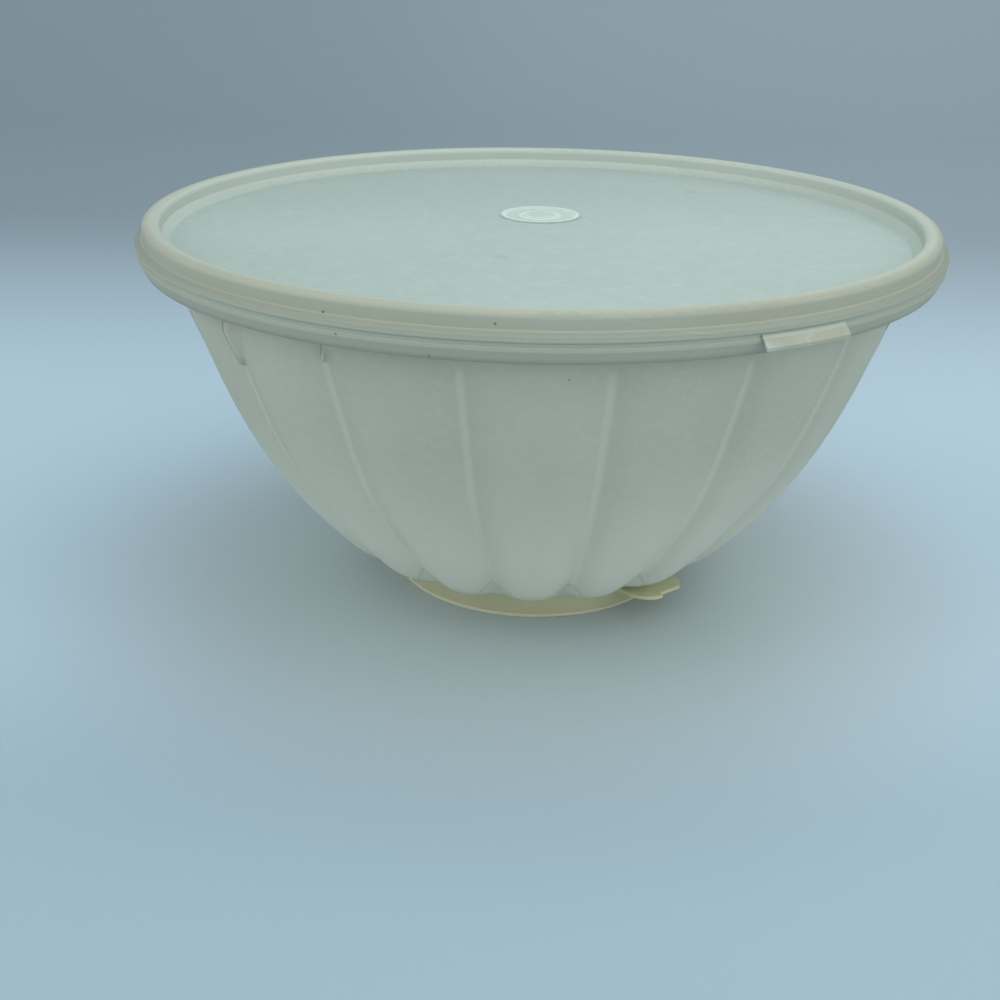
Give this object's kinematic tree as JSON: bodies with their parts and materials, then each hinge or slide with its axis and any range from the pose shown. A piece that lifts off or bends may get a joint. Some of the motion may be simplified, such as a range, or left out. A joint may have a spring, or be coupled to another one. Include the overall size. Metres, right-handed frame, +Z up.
{
  "type": "jelly mould",
  "caption": "Fluted ring jelly mould in milky plastic with a centre tube, a large press-on lid with a tab and a small press-on base seal with a tab.",
  "frame": {"origin": "on the floor under the mould's axis, at the middle of the underside of the base seal", "axes": "+Z up along the mould's axis, from the base seal to the lid; -Y towards the middle of one flute, the side that the picture shows; +X to the right in that view"},
  "size_m": [0.2322, 0.2322, 0.1125],
  "materials": {
    "mould": "milky translucent moulded plastic, satin",
    "lid": "milky translucent moulded plastic, thin panel, satin",
    "base_seal": "yellowed translucent moulded plastic, satin"
  },
  "bodies": {
    "mould_body": {"mould": "mould"},
    "lid_body": {"lid": "lid"},
    "seal_body": {"base_seal": "base_seal"}
  },
  "joints": [
    {"name": "lid_lift", "type": "slide", "parent": "mould_body", "child": "lid_body", "axis": [0, 0, 1], "range_m": [0, 0.05]},
    {"name": "base_seal_pull", "type": "slide", "parent": "mould_body", "child": "seal_body", "axis": [0, 0, -1], "range_m": [0, 0.03]}
  ]
}
